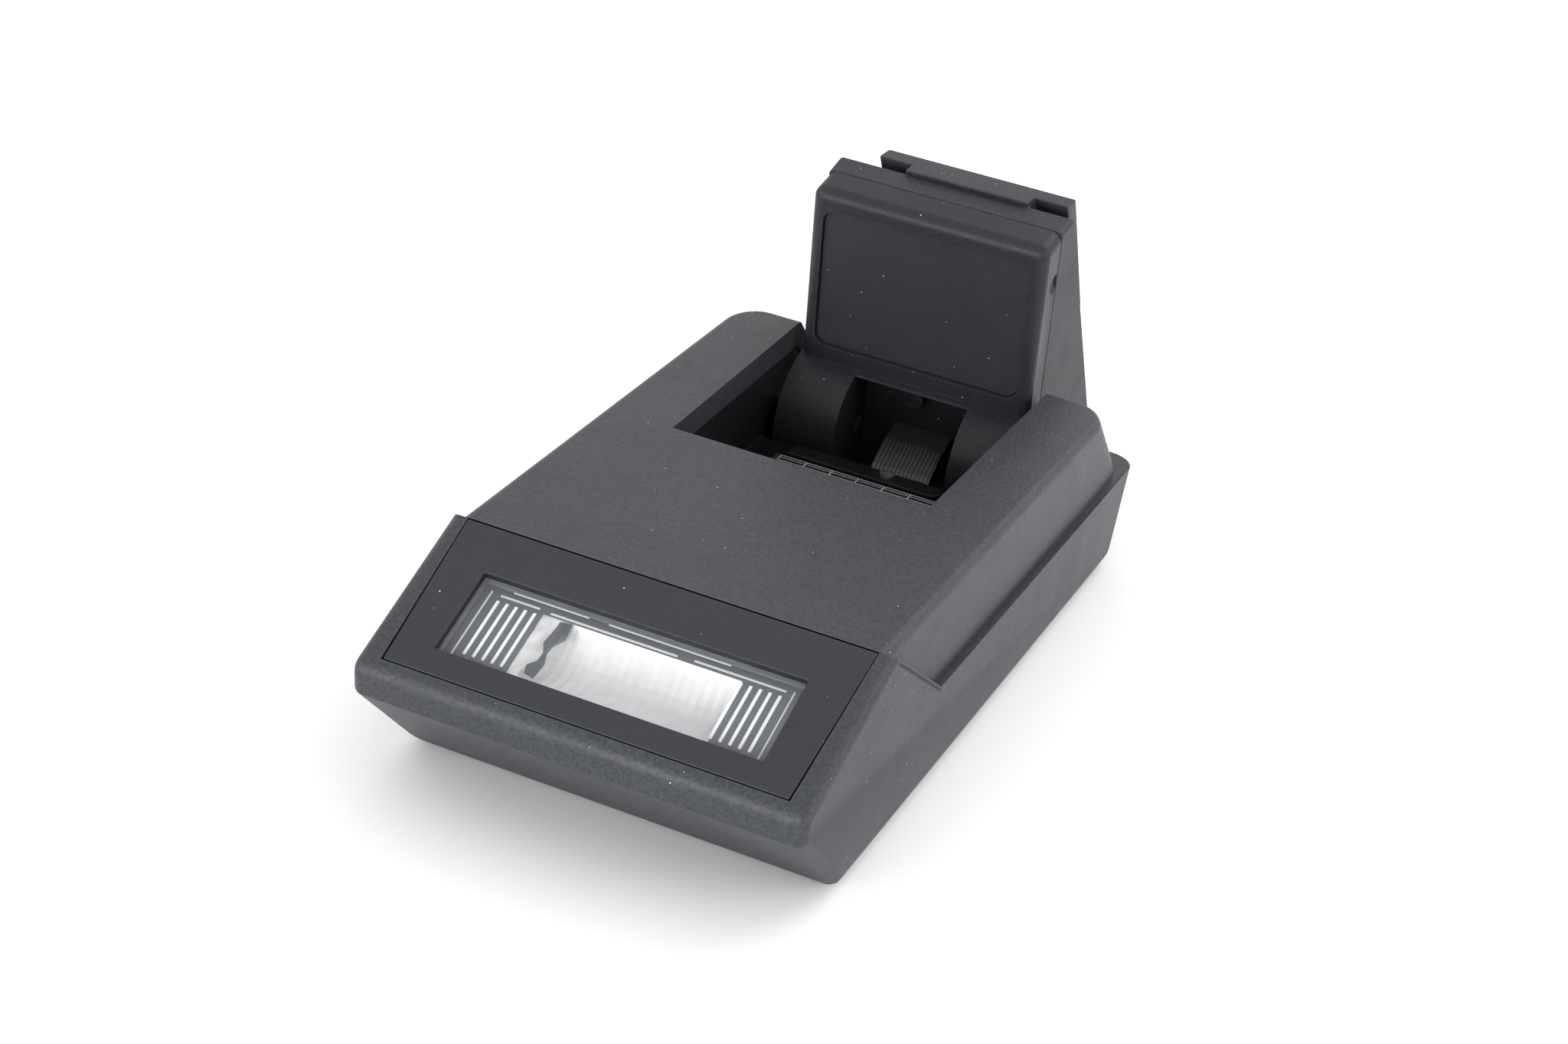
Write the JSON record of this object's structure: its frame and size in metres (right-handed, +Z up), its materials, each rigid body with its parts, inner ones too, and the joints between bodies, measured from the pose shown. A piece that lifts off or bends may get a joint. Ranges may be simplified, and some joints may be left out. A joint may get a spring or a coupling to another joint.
{
  "type": "pocket electronic flash with folding shoe foot",
  "caption": "Flat pocket camera flash: sloping window head, pocketed body, and a hinged block that folds out with a standard accessory shoe foot.",
  "frame": {"origin": "middle of the width, on the plane the unit stands on, under the front edge of the pocket", "axes": "+X across the width, +Y along the length away from the flash window, +Z up out of the pocket"},
  "size_m": [0.0392, 0.0893, 0.0358],
  "materials": {
    "body_plastic": "fine-grained charcoal plastic, slightly worn",
    "bezel_plastic": "smooth dark grey plastic frame",
    "pocket_plastic": "smooth black plastic",
    "block_plastic": "satin black plastic, worn at the edges",
    "panel_grey": "satin grey plate",
    "foot_plastic": "charcoal plastic, slightly rubbed",
    "lens_clear": "clear moulded window with prism bars",
    "reflector_foil": "bright polished sheet, faintly dulled",
    "tube_glass": "clear quartz glass",
    "sleeve_rubber": "pale silicone rubber",
    "capacitor_sleeve": "shrink sleeve, dark blue",
    "cell_sleeve": "plain shrink sleeve",
    "nickel": "nickel-plated spring strip, dulled",
    "inner_plastic": "unpainted grey moulding",
    "board": "coated circuit board",
    "ferrite": "dark sintered ferrite",
    "coil": "varnished copper winding",
    "steel": "bright steel",
    "label": "blank satin metal foil",
    "button": "grey plastic button",
    "lamp": "orange translucent plastic",
    "contact": "bright contact, slightly tarnished",
    "ribbon": "pale flexible cable"
  },
  "bodies": {
    "body": {"lower_shell": "body_plastic", "top_cover": "body_plastic", "pocket_liner": "pocket_plastic", "hinge_pins": "steel", "window_bezel": "bezel_plastic", "window_lens": "lens_clear", "reflector": "reflector_foil", "xenon_tube": "tube_glass", "tube_sleeves": "sleeve_rubber", "main_capacitor": "capacitor_sleeve", "capacitor_cradle": "inner_plastic", "battery": "cell_sleeve", "battery_holder": "inner_plastic", "battery_contacts": "nickel", "main_board": "board", "power_board": "board", "transformer": "ferrite", "trigger_coil": "coil", "case_screws": "steel", "floor_label": "label", "switch_bar": "pocket_plastic", "switch_eyelet": "contact", "test_switch": "inner_plastic", "ready_lamp": "lamp", "control_brackets": "inner_plastic"},
    "foot_block": {"block_front_shell": "block_plastic", "block_panel": "panel_grey", "block_rear_shell": "foot_plastic", "shoe_foot": "foot_plastic", "shoe_contacts": "contact", "terminal_board": "board", "flex_ribbon": "ribbon", "ribbon_clamp": "steel"},
    "battery_door": {"battery_door": "body_plastic"},
    "test_button": {"test_button": "button"}
  },
  "joints": [
    {"name": "fold", "type": "hinge", "parent": "body", "child": "foot_block", "pos_m": [0, 0.0296, 0.0106], "axis": [1, 0, 0], "range_deg": [0, 79]},
    {"name": "door_slide", "type": "slide", "parent": "body", "child": "battery_door", "axis": [0, 1, 0], "range_m": [0, 0.02]},
    {"name": "test_press", "type": "slide", "parent": "body", "child": "test_button", "axis": [0, -0.6681, -0.744], "range_m": [0, 0.0005], "stiffness_N_per_m": 400, "springref_m": -0.0006}
  ]
}
